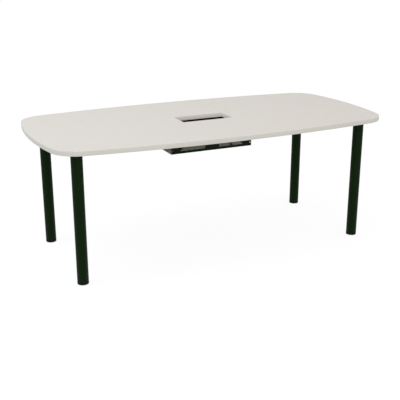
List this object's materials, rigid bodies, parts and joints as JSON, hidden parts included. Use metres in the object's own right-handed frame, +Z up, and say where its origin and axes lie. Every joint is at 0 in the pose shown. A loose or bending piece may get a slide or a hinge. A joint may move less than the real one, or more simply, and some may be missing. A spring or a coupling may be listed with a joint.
{
  "type": "conference table",
  "caption": "Free-standing conference table with a barrel-shaped top, round legs on levelling feet, a rectangular cable port and a windowed cable tray below it.",
  "frame": {"origin": "on the floor, under the middle of the top", "axes": "+X along the table's length, +Y across it away from the pictured side, +Z up"},
  "size_m": [2, 1, 0.735],
  "materials": {
    "laminate": "pale warm grey laminate on board, satin",
    "edging": "pale warm grey edge band, satin",
    "leg_coat": "very dark green powder coat, semi-matt",
    "cast_bracket": "die-cast, dull",
    "plated_steel": "zinc plated",
    "black_plastic": "moulded black, fine grain",
    "glide_plastic": "dark grey glide, matt"
  },
  "bodies": {
    "table": {"tabletop_board": "laminate", "edge_band": "edging", "cable_port_band": "edging", "leg_bracket_front_left": "cast_bracket", "leg_tube_front_left": "leg_coat", "leg_lock_screw_front_left": "plated_steel", "foot_plug_front_left": "black_plastic", "leg_screw_front_left_1": "plated_steel", "leg_screw_front_left_2": "plated_steel", "leg_screw_front_left_3": "plated_steel", "leg_screw_front_left_4": "plated_steel", "leg_bracket_front_right": "cast_bracket", "leg_tube_front_right": "leg_coat", "leg_lock_screw_front_right": "plated_steel", "foot_plug_front_right": "black_plastic", "leg_screw_front_right_1": "plated_steel", "leg_screw_front_right_2": "plated_steel", "leg_screw_front_right_3": "plated_steel", "leg_screw_front_right_4": "plated_steel", "leg_bracket_back_left": "cast_bracket", "leg_tube_back_left": "leg_coat", "leg_lock_screw_back_left": "plated_steel", "foot_plug_back_left": "black_plastic", "leg_screw_back_left_1": "plated_steel", "leg_screw_back_left_2": "plated_steel", "leg_screw_back_left_3": "plated_steel", "leg_screw_back_left_4": "plated_steel", "leg_bracket_back_right": "cast_bracket", "leg_tube_back_right": "leg_coat", "leg_lock_screw_back_right": "plated_steel", "foot_plug_back_right": "black_plastic", "leg_screw_back_right_1": "plated_steel", "leg_screw_back_right_2": "plated_steel", "leg_screw_back_right_3": "plated_steel", "leg_screw_back_right_4": "plated_steel", "stiffener_rail_front": "leg_coat", "stiffener_rail_front_screw_1": "plated_steel", "stiffener_rail_front_screw_2": "plated_steel", "stiffener_rail_front_screw_3": "plated_steel", "stiffener_rail_back": "leg_coat", "stiffener_rail_back_screw_1": "plated_steel", "stiffener_rail_back_screw_2": "plated_steel", "stiffener_rail_back_screw_3": "plated_steel", "cable_tray": "leg_coat", "cable_tray_screw_1": "plated_steel", "cable_tray_screw_2": "plated_steel", "cable_tray_screw_3": "plated_steel", "cable_tray_screw_4": "plated_steel"},
    "glide_front_left": {"foot_glide_front_left": "glide_plastic"},
    "foot_front_left": {"foot_cap_front_left": "black_plastic", "foot_stud_front_left": "plated_steel"},
    "glide_front_right": {"foot_glide_front_right": "glide_plastic"},
    "foot_front_right": {"foot_cap_front_right": "black_plastic", "foot_stud_front_right": "plated_steel"},
    "glide_back_left": {"foot_glide_back_left": "glide_plastic"},
    "foot_back_left": {"foot_cap_back_left": "black_plastic", "foot_stud_back_left": "plated_steel"},
    "glide_back_right": {"foot_glide_back_right": "glide_plastic"},
    "foot_back_right": {"foot_cap_back_right": "black_plastic", "foot_stud_back_right": "plated_steel"}
  },
  "joints": [
    {"name": "foot_level_front_left", "type": "slide", "parent": "table", "child": "glide_front_left", "axis": [0, 0, -1], "range_m": [0, 0.015]},
    {"name": "foot_turn_front_left", "type": "hinge", "parent": "glide_front_left", "child": "foot_front_left", "pos_m": [-0.843, -0.328, 0], "axis": [0, 0, -1], "range_deg": [0, 3600]},
    {"name": "foot_level_front_right", "type": "slide", "parent": "table", "child": "glide_front_right", "axis": [0, 0, -1], "range_m": [0, 0.015]},
    {"name": "foot_turn_front_right", "type": "hinge", "parent": "glide_front_right", "child": "foot_front_right", "pos_m": [0.843, -0.328, 0], "axis": [0, 0, -1], "range_deg": [0, 3600]},
    {"name": "foot_level_back_left", "type": "slide", "parent": "table", "child": "glide_back_left", "axis": [0, 0, -1], "range_m": [0, 0.015]},
    {"name": "foot_turn_back_left", "type": "hinge", "parent": "glide_back_left", "child": "foot_back_left", "pos_m": [-0.843, 0.328, 0], "axis": [0, 0, -1], "range_deg": [0, 3600]},
    {"name": "foot_level_back_right", "type": "slide", "parent": "table", "child": "glide_back_right", "axis": [0, 0, -1], "range_m": [0, 0.015]},
    {"name": "foot_turn_back_right", "type": "hinge", "parent": "glide_back_right", "child": "foot_back_right", "pos_m": [0.843, 0.328, 0], "axis": [0, 0, -1], "range_deg": [0, 3600]}
  ],
  "couplings": [
    {"joint": "foot_level_front_left", "follows": "foot_turn_front_left", "m_per_rad": 0.00023873},
    {"joint": "foot_level_front_right", "follows": "foot_turn_front_right", "m_per_rad": 0.00023873},
    {"joint": "foot_level_back_left", "follows": "foot_turn_back_left", "m_per_rad": 0.00023873},
    {"joint": "foot_level_back_right", "follows": "foot_turn_back_right", "m_per_rad": 0.00023873}
  ]
}
